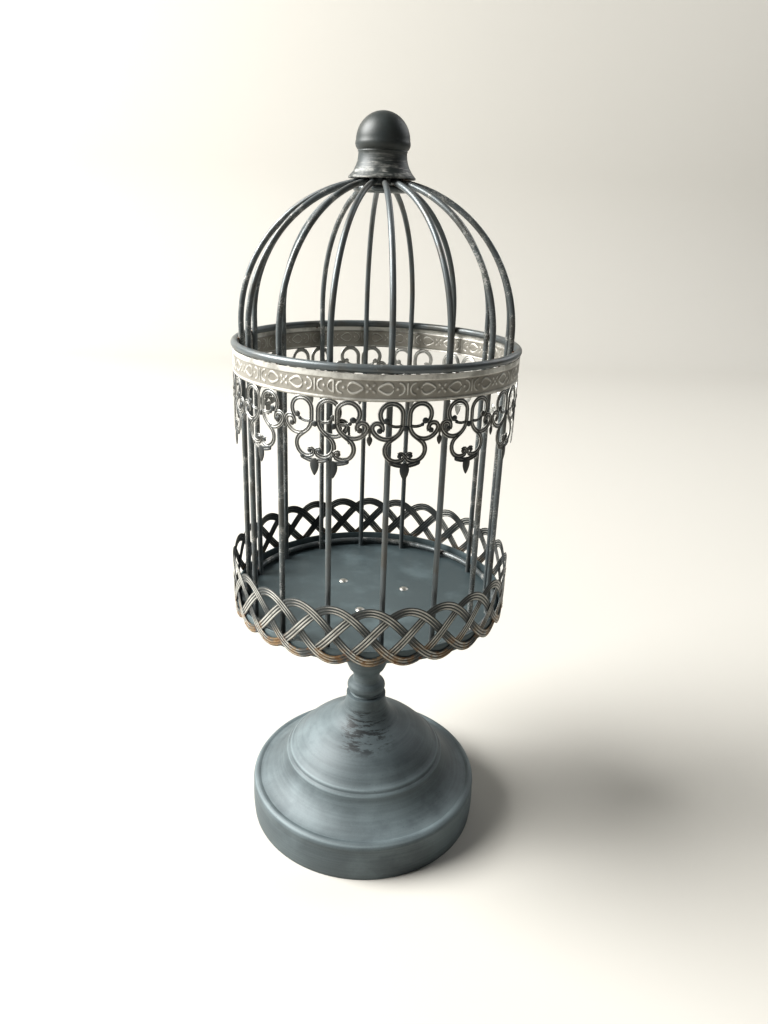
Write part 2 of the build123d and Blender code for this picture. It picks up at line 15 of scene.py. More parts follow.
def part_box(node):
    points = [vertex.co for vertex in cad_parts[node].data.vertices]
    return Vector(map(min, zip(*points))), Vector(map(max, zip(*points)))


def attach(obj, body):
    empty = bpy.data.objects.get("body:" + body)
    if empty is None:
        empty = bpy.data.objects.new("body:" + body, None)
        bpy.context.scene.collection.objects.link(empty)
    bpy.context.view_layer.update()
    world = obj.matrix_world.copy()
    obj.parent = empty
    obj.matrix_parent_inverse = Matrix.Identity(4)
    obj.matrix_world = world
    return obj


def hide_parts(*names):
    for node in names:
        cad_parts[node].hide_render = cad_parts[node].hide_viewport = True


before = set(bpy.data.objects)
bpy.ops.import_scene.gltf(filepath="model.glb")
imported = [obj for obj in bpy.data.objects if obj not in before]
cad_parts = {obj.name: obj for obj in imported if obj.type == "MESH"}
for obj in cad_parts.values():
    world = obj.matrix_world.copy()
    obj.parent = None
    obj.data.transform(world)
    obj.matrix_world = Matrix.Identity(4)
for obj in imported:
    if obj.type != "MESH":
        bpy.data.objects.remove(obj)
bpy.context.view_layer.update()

MM = 0.001

# %% [markdown]
# ## Camera
# A reusable part is judged against a known viewpoint, so the camera comes first.
# It could be aimed by hand at an empty; writing its turn as three angles is shorter and
# keeps it fixed. It stands a little above the dome and looks down at the tray.

# %% Camera
LENS = 27.03
SENSOR = 36.0
CAMERA_PLACE = Vector((0.8, -422.5, 373.2)) * MM
LOOK_DOWN = 0.3709
LOOK_RIGHT = 0.0154
ROLL = 0.0373

camera_data = bpy.data.cameras.new("camera")
camera_data.lens = LENS
camera_data.sensor_width = SENSOR
camera_data.clip_start = 0.01
camera = bpy.data.objects.new("camera", camera_data)
bpy.context.scene.collection.objects.link(camera)
aim = Matrix.Rotation(-LOOK_RIGHT, 4, "Z") @ Matrix.Rotation(pi / 2 - LOOK_DOWN, 4, "X")
camera.matrix_world = Matrix.Translation(CAMERA_PLACE) @ aim @ Matrix.Rotation(ROLL, 4, "Z")
bpy.context.scene.camera = camera
print("camera at", [round(v, 4) for v in camera.location])

# %% [markdown]
# ## Shader maths as plain sums
# Node trees are easier to read when the maths looks like maths. `Value` wraps one socket,
# and an expression on it adds the Math nodes. `Paint` owns a material and makes every
# other node through one method: its type, its settings, then what its sockets get.

# %% Value and Paint
class Value:
    """An output socket; numbers on it can be added, multiplied and so on."""

    def __init__(self, paint, socket):
        self.paint = paint
        self.socket = socket

    def maths(self, operation, first, second):
        return self.paint.node("ShaderNodeMath", {"operation": operation}, {0: first, 1: second})

    def __add__(self, other):
        return self.maths("ADD", self, other)

    __radd__ = __add__

    def __sub__(self, other):
        return self.maths("SUBTRACT", self, other)

    def __rsub__(self, other):
        return self.maths("SUBTRACT", other, self)

    def __mul__(self, other):
        return self.maths("MULTIPLY", self, other)

    __rmul__ = __mul__

    def between(self, low, high):
        """0 at low and 1 at high, smooth between; low may be the larger of the two."""
        settings = {"interpolation_type": "SMOOTHSTEP"}
        inputs = {"Value": self, "From Min": low, "From Max": high}
        return self.paint.node("ShaderNodeMapRange", settings, inputs)


class Paint:
    """A material, its node tree and the one shader that the tree ends in."""

    def __init__(self, name):
        self.material = bpy.data.materials.new(name)
        self.material.use_nodes = True
        self.tree = self.material.node_tree
        self.shader = self.tree.nodes["Principled BSDF"]
        self.place = self.node("ShaderNodeTexCoord", {}, {}, "Object")
        self.height = self.along("Z")

    def node(self, kind, settings, inputs, output=0):
        made = self.tree.nodes.new(kind)
        for key, setting in settings.items():
            setattr(made, key, setting)
        for key, value in inputs.items():
            self.feed(made.inputs[key], value)
        return Value(self, made.outputs[output])

    def feed(self, socket, value):
        if isinstance(value, Value):
            self.tree.links.new(value.socket, socket)
        else:
            socket.default_value = value

    def along(self, axis):
        """The place along X, Y or Z, in millimetres."""
        return self.node("ShaderNodeSeparateXYZ", {}, {"Vector": self.place}, axis) * (1 / MM)

    def noise(self, size, detail=4.0, rough=0.55, squeeze=(1, 1, 1)):
        """Cloudy noise whose lumps are about that many millimetres across."""
        place = self.node("ShaderNodeMapping", {}, {"Vector": self.place, "Scale": squeeze})
        inputs = {"Vector": place, "Scale": 1 / (size * MM), "Detail": detail, "Roughness": rough}
        return self.node("ShaderNodeTexNoise", {}, inputs)

    def mix(self, share, first, second):
        """A colour from first, where share is 0, to second, where share is 1."""
        return self.node("ShaderNodeMix", {"data_type": "RGBA"}, {0: share, 6: first, 7: second}, 2)

    def stored(self, name):
        """A number that the mesh stores at each vertex."""
        return self.node("ShaderNodeAttribute", {"attribute_name": name}, {}, "Fac")

    def finish(self, colour, roughness, metallic, height, depth):
        """Joins the finish to the shader; depth is the bumps' height in millimetres."""
        inputs = {"Height": height, "Distance": depth * MM, "Strength": 1.0}
        bump = self.node("ShaderNodeBump", {}, inputs)
        self.feed(self.shader.inputs["Base Color"], colour)
        self.feed(self.shader.inputs["Roughness"], roughness)
        self.feed(self.shader.inputs["Metallic"], metallic)
        self.feed(self.shader.inputs["Normal"], bump)
        return self.material


def shade(red, green, blue):
    """A colour given as on a paint card, 0 to 255, turned into the light that it reflects."""
    return tuple(((v / 255 + 0.055) / 1.055) ** 2.4 for v in (red, green, blue)) + (1.0,)


print("Value and Paint are ready")

# %% [markdown]
# ## The paint on the foot
# The foot is spun from sheet and sprayed a matte blue-grey. Handling has clouded it, and
# the high beads are painted paler: worn paint, and a painted highlight where light catches
# them. A texture could be painted by hand; since the foot is turned, these pale lines lie
# at known heights, so height and noise give them everywhere.

# %% Foot paint
SLATE = shade(67, 75, 78)
SLATE_PALE = shade(118, 130, 133)
SLATE_DARK = shade(58, 66, 70)
SCUFF = shade(26, 27, 28)
WORN_AND_HIGHLIGHT_W = 0.9


def foot_finish(worn_and_highlight_heights, scuff_low, scuff_high):
    """Clouded paint, paler at some heights as worn paint and painted highlight, and scuffed on the
    front between two others.
    """
    paint = Paint("foot_paint")
    cloud = paint.noise(42, 4, 0.5)
    grain = paint.noise(0.9, 3, 0.7)
    turning = paint.noise(1.3, 2, 0.5, squeeze=(0.02, 0.02, 1))
    lines = turning.between(0.4, 0.62)
    pale = cloud.between(0.38, 0.72) * 0.5 + grain * 0.3 + lines * 0.1
    colour = paint.mix(pale, SLATE, SLATE_PALE)
    dark = paint.noise(26, 5, 0.55, squeeze=(1, 1, 1.6)).between(0.52, 0.72)
    colour = paint.mix(dark * 0.4, colour, SLATE_DARK)
    # Pale bands at the given heights: worn paint on the beads, and a painted highlight on them.
    worn_and_highlight = sum(paint.height.between(z - WORN_AND_HIGHLIGHT_W, z) * paint.height.between(z + WORN_AND_HIGHLIGHT_W, z)
              for z in worn_and_highlight_heights)
    colour = paint.mix(worn_and_highlight * (grain * 0.5 + 0.3), colour, SLATE_PALE)
    scuffed = paint.height.between(scuff_low, scuff_low + 5)
    scuffed = scuffed * paint.height.between(scuff_high, scuff_high - 6)
    front = paint.along("Y").between(-4, -16) * paint.along("X").between(24, 8)
    front = front * paint.along("X").between(-20, -8)
    streak = paint.noise(6, 7, 0.75, squeeze=(0.45, 0.45, 3.4)).between(0.5, 0.57)
    speck = paint.noise(1.4, 4, 0.7).between(0.62, 0.68)
    colour = paint.mix(scuffed * front * streak * 0.85, colour, SCUFF)
    colour = paint.mix(speck * 0.35, colour, SLATE_DARK)
    roughness = grain * 0.14 + cloud * 0.1 + 0.46
    return paint.finish(colour, roughness, 0.12, turning * 0.7 + grain * 0.3, 0.07)


print("the foot's paint is a function of the heights that are rubbed")

# %% [markdown]
# ## The washed paint on the wires and stampings
# Wires, strips and rings are dark grey iron with an off-white wash wiped over. The wash
# stays on high places and leaves the hollows dark; on the gallery and the frieze that dark
# is partly the iron and partly painted shade in the hollows. The strips store their own
# relief at each vertex, the gallery's with a painted shadow under its crossings, so one
# finish can tell high from low; plain wires use noise alone.

# %% Washed finishes
IRON = shade(92, 98, 100)
IRON_DARK = shade(58, 62, 63)
IRON_WARM = shade(86, 82, 74)
FIELD = shade(128, 124, 115)
BONE = shade(188, 187, 180)
CHALK = shade(205, 204, 198)
OCHRE = shade(150, 120, 78)
RUST = shade(96, 64, 40)


def wire_finish(name, wash):
    """Dark wire with a wash wiped over it; wash is how much of the wash is left."""
    paint = Paint(name)
    blotch = paint.noise(9, 5, 0.65)
    speck = paint.noise(0.7, 4, 0.75)
    left = (blotch * 0.5 + speck * 0.5).between(0.66 - 0.2 * wash, 0.76 - 0.2 * wash)
    colour = paint.mix(paint.noise(14).between(0.45, 0.7) * 0.6, IRON, IRON_WARM)
    colour = paint.mix(left * (0.35 + 0.4 * wash), colour, CHALK)
    return paint.finish(colour, speck * 0.15 + 0.3, 0.3, speck, 0.05)


def strip_finish(name, high_colour, low_colour, contrast, rust_line=None):
    """A stamped strip: one colour on its high relief, one in its low, and rust below a height."""
    paint = Paint(name)
    relief = paint.stored("relief")
    blotch = paint.noise(9, 5, 0.6)
    speck = paint.noise(0.7, 4, 0.7)
    high = (relief + speck * 0.3 + blotch * 0.2).between(0.5, 0.95)
    worn = paint.mix(blotch.between(0.42, 0.66) * 0.5, high_colour, IRON_WARM)
    # Low relief takes the low colour; where that is the darker one, as on the gallery and the frieze,
    # it is partly painted shade in the hollows.
    colour = paint.mix((1 - high) * contrast, worn, low_colour)
    if rust_line is not None:
        low = paint.height.between(rust_line + 7, rust_line - 4)
        stain = paint.noise(6, 5, 0.6).between(0.42, 0.62)
        colour = paint.mix(low * stain * 0.6, colour, OCHRE)
        colour = paint.mix(low * paint.noise(3, 5, 0.7).between(0.5, 0.66) * 0.75, colour, RUST)
    return paint.finish(colour, speck * 0.2 + 0.36, 0.4, speck, 0.05)


wire_paint = wire_finish("wire_paint", 0.32)
worn_paint = wire_finish("worn_paint", 0.7)
print("made", wire_paint.name, "and", worn_paint.name)

# %% [markdown]
# ## The other finishes
# The pan's floor is the smoothest paint, blue-grey and faintly clouded. The knob is
# charcoal with a soft shine and a chalky skirt. Nuts and screws are plain zinc, and rust
# marks the places where the wires are welded.

# %% Other finishes
PAN = shade(72, 83, 86)
PAN_PALE = shade(118, 134, 138)
CHARCOAL = shade(47, 51, 49)
ZINC = shade(170, 170, 166)
RIVET = shade(176, 175, 170)


def cloudy_finish(name, dark, pale, share, roughness, metallic, wash_line=None):
    """One paint with soft paler clouds in it, and chalky streaks below a height."""
    paint = Paint(name)
    cloud = paint.noise(22, 5, 0.6)
    speck = paint.noise(0.9, 3, 0.6)
    colour = paint.mix(cloud.between(0.45, 0.75) * share + speck * 0.08, dark, pale)
    if wash_line is not None:
        streak = paint.noise(1.5, 4, 0.65, squeeze=(0.12, 0.12, 1)).between(0.42, 0.66)
        low = paint.height.between(wash_line, wash_line - 12)
        patch = paint.noise(7, 4, 0.6).between(0.35, 0.6)
        colour = paint.mix(low * streak * patch * 0.6, colour, CHALK)
    return paint.finish(colour, cloud * 0.15 + roughness, metallic, speck, 0.03)


def weld_finish():
    """Bare weld, brushed with paint and gone rusty in its folds."""
    paint = Paint("weld")
    fold = paint.noise(1.1, 4, 0.7)
    colour = paint.mix(fold.between(0.45, 0.6), RUST, CHALK)
    return paint.finish(colour, 0.55, 0.3, fold, 0.2)


pan_paint = cloudy_finish("pan_paint", PAN, PAN_PALE, 0.35, 0.34, 0.2)
zinc_plate = cloudy_finish("zinc_plate", ZINC, CHALK, 0.4, 0.3, 0.9)
rivet_steel = cloudy_finish("rivet_steel", RIVET, CHALK, 0.4, 0.3, 0.9)
weld = weld_finish()
print("made", [m.name for m in (pan_paint, zinc_plate, rivet_steel, weld)])

# %% [markdown]
# ## A bench for turned and bent pieces
# Nearly every piece is turned, spun or bent round the same centre line. Lathe and bevel
# modifiers would do; a bmesh spin is as short, and gives a plain mesh to check. The bench
# works in millimetres, and `finished` turns the work into an object in metres.

# %% Bench helpers
TURN_STEPS = 192
EDGE_ANGLE = radians(38)
SMOOTH_ANGLE = radians(50)
NEAR = 1e-4


def reach(node):
    """A round node's outer radius, lowest level and highest level, in millimetres."""
    low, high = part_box(node)
    return high.x / MM, low.z / MM, high.z / MM


def bowed(start, end, rise, steps=8):
    """Points along an arc after start; it bows out by rise, to the right of the way it goes."""
    way = Vector(end) - Vector(start)
    half = way.length / 2
    radius = (half ** 2 + rise ** 2) / (2 * abs(rise))
    half_angle = 2 * atan2(abs(rise), half)
    along = way.normalized()
    right = Vector((along.y, -along.x)) * (1 if rise > 0 else -1)
    centre = (Vector(start) + Vector(end)) / 2 - right * (radius * cos(half_angle))
    angles = [half_angle * (2 * k / steps - 1) for k in range(1, steps + 1)]
    return [tuple(centre + radius * (along * sin(a) + right * cos(a))) for a in angles]


def turned(bm, outline, steps=TURN_STEPS):
    """Spins an outline of (radius, height) points round the centre line."""
    verts = [bm.verts.new((r, 0, z)) for r, z in outline]
    edges = [bm.edges.new((a, b)) for a, b in zip(verts, verts[1:])]
    if outline[0][0] > 0 or outline[-1][0] > 0:
        edges.append(bm.edges.new((verts[-1], verts[0])))
    bmesh.ops.spin(bm, geom=verts + edges, cent=(0, 0, 0), axis=(0, 0, 1), angle=2 * pi,
                   steps=steps, use_merge=True)
    bmesh.ops.remove_doubles(bm, verts=bm.verts, dist=NEAR)


def eased(bm, width):
    """Takes the sharp edges off, as paint and handling do."""
    sharp = [e for e in bm.edges if e.is_manifold and e.calc_face_angle() > EDGE_ANGLE]
    bmesh.ops.bevel(bm, geom=sharp, offset=width, segments=2, profile=0.5, affect="EDGES",
                    material=-1)


def finished(name, bm, material, body, slot, *nodes):
    """Makes the object from bench work in millimetres, puts it on its body, and hides the frame's nodes
    that it stands for.
    """
    bmesh.ops.recalc_face_normals(bm, faces=bm.faces)
    bmesh.ops.scale(bm, vec=(MM, MM, MM), verts=bm.verts)
    mesh = bpy.data.meshes.new(name)
    bm.to_mesh(mesh)
    bm.free()
    mesh.shade_smooth()
    mesh.set_sharp_from_angle(angle=SMOOTH_ANGLE)
    mesh.materials.append(material)
    piece = bpy.data.objects.new(name, mesh)
    bpy.context.scene.collection.objects.link(piece)
    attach(piece, body)
    if nodes:
        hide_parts(*nodes)
    print(f"{name}: {len(mesh.polygons)} faces")


def turned_piece(name, outline, steps, ease, *finish):
    """A piece that is turned from its outline, eased at its edges and finished."""
    bm = bmesh.new()
    turned(bm, outline, steps)
    eased(bm, ease)
    finished(name, bm, *finish)


print("the bench is ready")

# %% [markdown]
# ## The foot
# A bell of thin iron, spun over a former: an upright skirt, a bead, a cove, two small
# steps, a dome and a cone. It could be a stack of cylinders with bevels, but one outline
# spun round the centre line is what the metal spinner makes, inside as well as out.

# %% Foot
foot_r, ground, foot_h = reach("foot")
SHEET = 1.2
SKIRT_H = 21.0
BEAD_TOP = 26.0
LEDGE_IN = 5.0
COVE = (foot_r - 22.0, 41.0)
STEP_R = foot_r - 26.0
STEP_TOP = 46.5
DOME = (22.5, 65.0)
FOOT_NECK_R = 12.6
LIP = 4.0
STUD_HOLE_R = 1.95


def foot_outline():
    """The bell from its hem up the outside to the neck, then down the inside to its lip."""
    hem = (foot_r - 0.6, ground)
    skirt = (foot_r - 0.5, SKIRT_H)
    bead = (foot_r - LEDGE_IN + 1.5, BEAD_TOP)
    ledge = (foot_r - LEDGE_IN, BEAD_TOP - 0.6)
    step = ((COVE[0] + STEP_R) / 2, (COVE[1] + STEP_TOP) / 2)
    dome_foot = (STEP_R - 0.6, STEP_TOP)
    neck = (FOOT_NECK_R, foot_h)
    outside = [hem] + bowed(hem, skirt, 0.55, 6) + bowed(skirt, bead, 1.42) + [ledge]
    outside += bowed(ledge, COVE, -2.4) + bowed(COVE, step, 0.5, 4) + bowed(step, dome_foot, 0.5, 4)
    outside += bowed(dome_foot, DOME, 2.0, 12) + bowed(DOME, neck, -3.0, 12)
    inner_dome = (DOME[0] - 0.9, DOME[1] - SHEET)
    inner_neck = (FOOT_NECK_R - SHEET - 0.2, foot_h - SHEET)
    inner_step = (STEP_R - 1.6, STEP_TOP - SHEET - 0.6)
    inner_cove = (COVE[0] - SHEET - 0.4, COVE[1] - 0.2)
    inner_ledge = (ledge[0] - 0.6, ledge[1] - SHEET - 0.6)
    inner_skirt_r = foot_r - 0.6 - SHEET
    inside = [(STUD_HOLE_R, foot_h), (STUD_HOLE_R, foot_h - SHEET), inner_neck]
    inside += bowed(inner_neck, inner_dome, 3.0, 12) + bowed(inner_dome, inner_step, -2.0, 12)
    inside += [inner_cove] + bowed(inner_cove, inner_ledge, 2.4)
    inside += [(inner_skirt_r, SKIRT_H), (inner_skirt_r, ground + SHEET)]
    return outside + inside + [(foot_r - 0.6 - LIP, ground + SHEET), (foot_r - 0.6 - LIP, ground)]


# The beads' heights, painted paler for worn paint and for a painted highlight.
worn_and_painted_highlight = [BEAD_TOP - 1.2, COVE[1] + 1.5, STEP_TOP - 1.0]
foot_paint = foot_finish(worn_and_painted_highlight, DOME[1] - 8, foot_h - 3)
turned_piece("foot_bell", foot_outline(), TURN_STEPS, 0.2, foot_paint, "stand", "foot_paint", "foot")

# %% [markdown]
# ## The stem and the cup
# The stem is a small turned baluster, and the cup under the tray spreads its load. Both
# are turned from an outline, bored for the rod that draws foot, stem and cup together.

# %% Stem and cup
vase_r, stem_low, stem_high = reach("stem")
STEM_BASE_R = 10.4
STEM_BEAD = 1.9
STEM_NECK_R = 8.8
STEM_TOP_R = 10.0
cup_r, cup_low, cup_high = reach("cup")
BOWL_R = 17.0
CUP_SHEET = 1.2


def stem_outline():
    """The baluster from its foot up: a bead, a neck, a vase and a collar."""
    z = stem_low
    base = (STEM_BASE_R, z + 0.8)
    bead_low = (STEM_BASE_R, z + 2.6)
    bead_high = (STEM_BASE_R - 0.4, z + 9.2)
    neck = (STEM_NECK_R, z + 10.0)
    swell = (STEM_NECK_R + 2.4, z + 19.0)
    vase = (vase_r, z + 0.53 * (stem_high - z))
    collar_low = (STEM_NECK_R, stem_high - 9.0)
    collar_high = (STEM_NECK_R, stem_high - 4.0)
    line = [(STUD_HOLE_R, z), (STEM_BASE_R, z), base] + bowed(base, bead_low, -0.5, 6)
    line += bowed(bead_low, bead_high, STEM_BEAD) + [neck] + bowed(neck, swell, -1.4)
    line += bowed(swell, vase, 0.6) + bowed(vase, collar_low, -2.2, 12)
    line += bowed(collar_low, collar_high, 1.6) + bowed(collar_high, (STEM_TOP_R, stem_high), -0.8)
    return line + [(STUD_HOLE_R, stem_high)]


def cup_outline():
    """The cup from its flat underside out over the bowl to the flange, and back inside."""
    flat_r = BOWL_R - CUP_SHEET - 5.0
    bowl = (BOWL_R, cup_high - CUP_SHEET)
    inner_rim = (BOWL_R - CUP_SHEET, cup_high)
    line = [(STUD_HOLE_R, cup_low), (flat_r, cup_low)] + bowed((flat_r, cup_low), bowl, 1.6)
    line += [(cup_r, cup_high - CUP_SHEET), (cup_r, cup_high), inner_rim]
    line += bowed(inner_rim, (flat_r - 0.5, cup_low + CUP_SHEET), -1.6)
    return line + [(STUD_HOLE_R, cup_low + CUP_SHEET)]


turned_piece("stem_baluster", stem_outline(), 96, 0.15, foot_paint, "stand", "foot_paint", "stem")
turned_piece("tray_cup", cup_outline(), 128, 0.15, foot_paint, "stand", "foot_paint", "cup")

# %% [markdown]
# ## The tray
# A shallow pan, pressed from one disc: flat floor, small round corner, low upright rim
# that the gallery is fixed to. It could be a cylinder with an inset, but it is turned too,
# because the rim's round corner is then two arcs of its outline.

# %% Tray
rim_r, tray_low, rim_top = reach("tray")
PAN_SHEET = 1.0
PAN_CORNER = 1.6
floor_z = tray_low + PAN_SHEET


def tray_outline():
    """The pan from the middle of its underside round the rim to the middle of its floor."""
    outer_corner = PAN_CORNER + PAN_SHEET
    rise = (sqrt(2) / 2 * (sqrt(2) - 1)) * outer_corner
    inner_rise = rise * PAN_CORNER / outer_corner
    rim_in = rim_r - PAN_SHEET
    turn_in = (rim_r - outer_corner, tray_low)
    inner_turn = (rim_in, floor_z + PAN_CORNER)
    line = [(0, tray_low), turn_in] + bowed(turn_in, (rim_r, tray_low + outer_corner), rise, 6)
    line += [(rim_r, rim_top), (rim_in, rim_top), inner_turn]
    line += bowed(inner_turn, (rim_in - PAN_CORNER, floor_z), -inner_rise, 6)
    return line + [(rim_r * k / 6, floor_z) for k in (5, 4, 3, 2, 1)] + [(0, floor_z)]


turned_piece("tray_pan", tray_outline(), TURN_STEPS, 0.15, pan_paint, "stand", "wire_paint", "tray")

# %% [markdown]
# ## The gallery
# A strip of plaited waves stands round the tray. Each wave is a ribbon with three raised
# ridges, and the ribbons go over and under one another. Two closed ribbons, each going
# round twice, make the whole plait. A curve with a bevel would lose the ridges' order,
# so each ribbon is a grid that is laid along its wave and then given a thickness.

# %% Gallery
LOBES = 26
LOBE_AZ = radians(1.0)
LOBES_A_WAVE = 4
RIBBON_W = 4.8
RIBBON_SHEET = 0.3
RIDGE_PITCH = 1.55
RIDGE_H = 0.32
WEAVE = 0.22
STEPS_A_LOBE = 12
ROWS = 16

gallery_r, gallery_low, gallery_high = reach("gallery")
gallery_middle = (gallery_low + gallery_high) / 2
wave_rise = (gallery_high - gallery_low - RIBBON_W) / 2
lobe_pitch = 2 * pi * gallery_r / LOBES


def ribbon(bm, relief, first_lobe):
    """One closed wave, twice round: ridged across, lifted where it crosses over, and with a painted
    shadow in its stored relief where it passes under.
    """
    columns = 2 * LOBES * STEPS_A_LOBE
    grid = bmesh.ops.create_grid(bm, x_segments=columns, y_segments=ROWS, size=0.5)
    per_mm = 2 * pi / (LOBES_A_WAVE * lobe_pitch)
    for v in grid["verts"]:
        turn = (v.co.x + 0.5) * 2 * LOBES / LOBES_A_WAVE * 2 * pi
        across = v.co.y * RIBBON_W
        slope = -wave_rise * per_mm * sin(turn)
        upright = 1 / sqrt(1 + slope ** 2)
        along = turn / per_mm - across * slope * upright
        height = wave_rise * cos(turn) + across * upright
        ridge = 0.5 + 0.5 * cos(2 * pi * across / RIDGE_PITCH)
        over = sin(3 * turn)
        # Where the ribbon passes under the other, its stored relief is lowered, which paints a shadow
        # from the ribbon above.
        v[relief] = ridge * (0.66 + 0.34 * over)
        azimuth = along / gallery_r + LOBE_AZ + first_lobe * 2 * pi / LOBES
        radius = gallery_r - RIDGE_H - WEAVE + WEAVE * over + RIDGE_H * ridge
        v.co = (radius * sin(azimuth), -radius * cos(azimuth), gallery_middle + height)


def facing_out(bm):
    """Turns an open ring of sheet so that its faces look away from the centre line."""
    bmesh.ops.recalc_face_normals(bm, faces=bm.faces)
    middles = {f: f.calc_center_median() for f in bm.faces}
    inward = [f for f, at in middles.items() if f.normal.x * at.x + f.normal.y * at.y < 0]
    bmesh.ops.reverse_faces(bm, faces=inward)


gallery_bench = bmesh.new()
gallery_relief_and_shadow = gallery_bench.verts.layers.float.new("relief")
for first in (0, 1):
    ribbon(gallery_bench, gallery_relief_and_shadow, first)
bmesh.ops.remove_doubles(gallery_bench, verts=gallery_bench.verts, dist=0.001)
facing_out(gallery_bench)
bmesh.ops.solidify(gallery_bench, geom=gallery_bench.faces[:], thickness=RIBBON_SHEET)
radii = [hypot(v.co.x, v.co.y) for v in gallery_bench.verts]
print("gallery between radii", round(min(radii), 2), "and", round(max(radii), 2))
# The gallery's dark low colour is partly dark iron and partly painted shade between its ridges and
# under its crossings.
gallery_paint = strip_finish("gallery_paint", BONE, IRON_DARK, 0.95, gallery_low + 8)
finished("gallery_plait", gallery_bench, gallery_paint, "stand", "rusted_paint", "gallery")

# %% [markdown]
# ## The cage's wires
# Sixteen bars stand straight from the tray and bend in to the hub, with a ring at their
# feet, a heavier hoop under the dome and a small ring at the top. Curves with a round
# bevel would do; a circle that is extruded and spun is as easy, with capped ends.

# %% Wires
BARS = 16
BAR_AZ = radians(5.6)
BAR_R = 1.5
BAR_CIRCLE_R = 72.5
BAR_STRAIGHT = 160.5
HUB_R = 12.0
WIRE_SIDES = 14
BEND_STEPS = 36

bar_foot = reach("bar_01")[1]
spring_z = bar_foot + BAR_STRAIGHT
hub_z = spring_z + sqrt(BAR_CIRCLE_R ** 2 - HUB_R ** 2)


def bar(bm, azimuth):
    """A bar made at the front, then turned round to its azimuth."""
    ring = bmesh.ops.create_circle(bm, cap_ends=False, segments=WIRE_SIDES, radius=BAR_R)["verts"]
    bmesh.ops.translate(bm, verts=ring, vec=(0, -BAR_CIRCLE_R, spring_z))
    edges = [e for e in bm.edges if e.verts[0] in ring and e.verts[1] in ring]
    below = bmesh.ops.extrude_edge_only(bm, edges=edges)["geom"]
    foot_ring = [g for g in below if isinstance(g, bmesh.types.BMVert)]
    bmesh.ops.translate(bm, verts=foot_ring, vec=(0, 0, -BAR_STRAIGHT))
    foot_edges = [g for g in below if isinstance(g, bmesh.types.BMEdge)]
    bend = -atan2(hub_z - spring_z, HUB_R)
    top = bmesh.ops.spin(bm, geom=ring + edges, cent=(0, 0, spring_z), axis=(1, 0, 0),
                         angle=bend, steps=BEND_STEPS, use_merge=False)["geom_last"]
    bmesh.ops.contextual_create(bm, geom=foot_edges)
    bmesh.ops.contextual_create(bm, geom=[g for g in top if isinstance(g, bmesh.types.BMEdge)])
    bmesh.ops.rotate(bm, verts=bm.verts, cent=(0, 0, 0), matrix=Matrix.Rotation(azimuth, 3, "Z"))


def wire_ring(bm, radius, wire_r, z):
    """A wire bent into a closed ring."""
    ring = bmesh.ops.create_circle(bm, cap_ends=False, segments=WIRE_SIDES, radius=wire_r)["verts"]
    bmesh.ops.rotate(bm, verts=ring, cent=(0, 0, 0), matrix=Matrix.Rotation(pi / 2, 3, "X"))
    bmesh.ops.translate(bm, verts=ring, vec=(radius, 0, z))
    edges = [e for e in bm.edges if e.verts[0] in ring and e.verts[1] in ring]
    bmesh.ops.spin(bm, geom=ring + edges, cent=(0, 0, 0), axis=(0, 0, 1), angle=2 * pi,
                   steps=TURN_STEPS, use_merge=True)
    bmesh.ops.remove_doubles(bm, verts=bm.verts, dist=NEAR)


def ring_of(node):
    """Centre radius, wire radius and height of a ring in the frame."""
    outer, low, high = reach(node)
    wire_r = (high - low) / 2
    return outer - wire_r, wire_r, (low + high) / 2


bar_azimuths = [BAR_AZ + k * 2 * pi / BARS for k in range(BARS)]
for k, azimuth in enumerate(bar_azimuths):
    bar_bench = bmesh.new()
    bar(bar_bench, azimuth)
    bar_paint = wire_paint if -0.35 < sin(azimuth) < 0.75 else worn_paint
    number = f"{k + 1:02d}"
    finished(f"wire_bar_{number}", bar_bench, bar_paint, "cage", "wire_paint", f"bar_{number}")

for node in ("base_ring", "rim_hoop", "hub_ring"):
    ring_bench = bmesh.new()
    wire_ring(ring_bench, *ring_of(node))
    ring_paint = wire_paint if node == "rim_hoop" else worn_paint
    finished(f"wire_{node}", ring_bench, ring_paint, "cage", "wire_paint", node)

# %% [markdown]
# ## The stamped strip
# Under the hoop runs one stamped strip: a frieze between two raised lines, with scrolls
# hanging from it. On the bench the strip lies flat, with x along it, y up it and z out of
# it, which is how it is stamped. Then it is wrapped round the cage, and its two ends
# overlap a little on the left of the front, where the maker joined them.

# %% Strip sizes
band_r, _, band_top = reach("band")
RELIEF = 0.4
STRIP_SHEET = 0.5
FRIEZE_H = 12.2
MOTIF_AZ = 11.2
MOTIF_PITCH_AZ = 25.2
MOTIFS = 14
STRIP_START_AZ = -14.4
STRIP_END_AZ = 352.0
END_PROUD = 1.25
END_RUN = radians(34)

flat_r = band_r - RELIEF
frieze_low = band_top - FRIEZE_H
mm_a_degree = radians(1) * flat_r
motif_pitch = MOTIF_PITCH_AZ * mm_a_degree
strip_start = STRIP_START_AZ * mm_a_degree
strip_end = STRIP_END_AZ * mm_a_degree


def wrapped(bm):
    """Bends flat work round the cage; the outer end stands proud of the end that it laps."""
    for v in bm.verts:
        azimuth = v.co.x / flat_r
        past_end = min(1.0, max(0.0, (azimuth - radians(STRIP_START_AZ)) / END_RUN))
        proud = END_PROUD * (1 - past_end ** 2 * (3 - 2 * past_end))
        radius = flat_r + proud + v.co.z
        v.co = (radius * sin(azimuth), -radius * cos(azimuth), frieze_low + v.co.y)


def smooth_hump(distance, width):
    """1 on a line and 0 beyond its width, smooth between."""
    share = min(1.0, abs(distance) / width)
    return 1 - share * share * (3 - 2 * share)


# %% [markdown]
# The frieze's pattern repeats with the scrolls: a small four-petalled flower over each
# gap, an outlined leaf on both sides of it, and two facing curves over each motif. It is
# a grid whose points are raised by their distance from those lines.

# %% Frieze
FRIEZE_STEP = 0.36
LIP_H = 2.0
TUCK = 0.4
LINE_W = 0.62
LEAF_L = 7.2


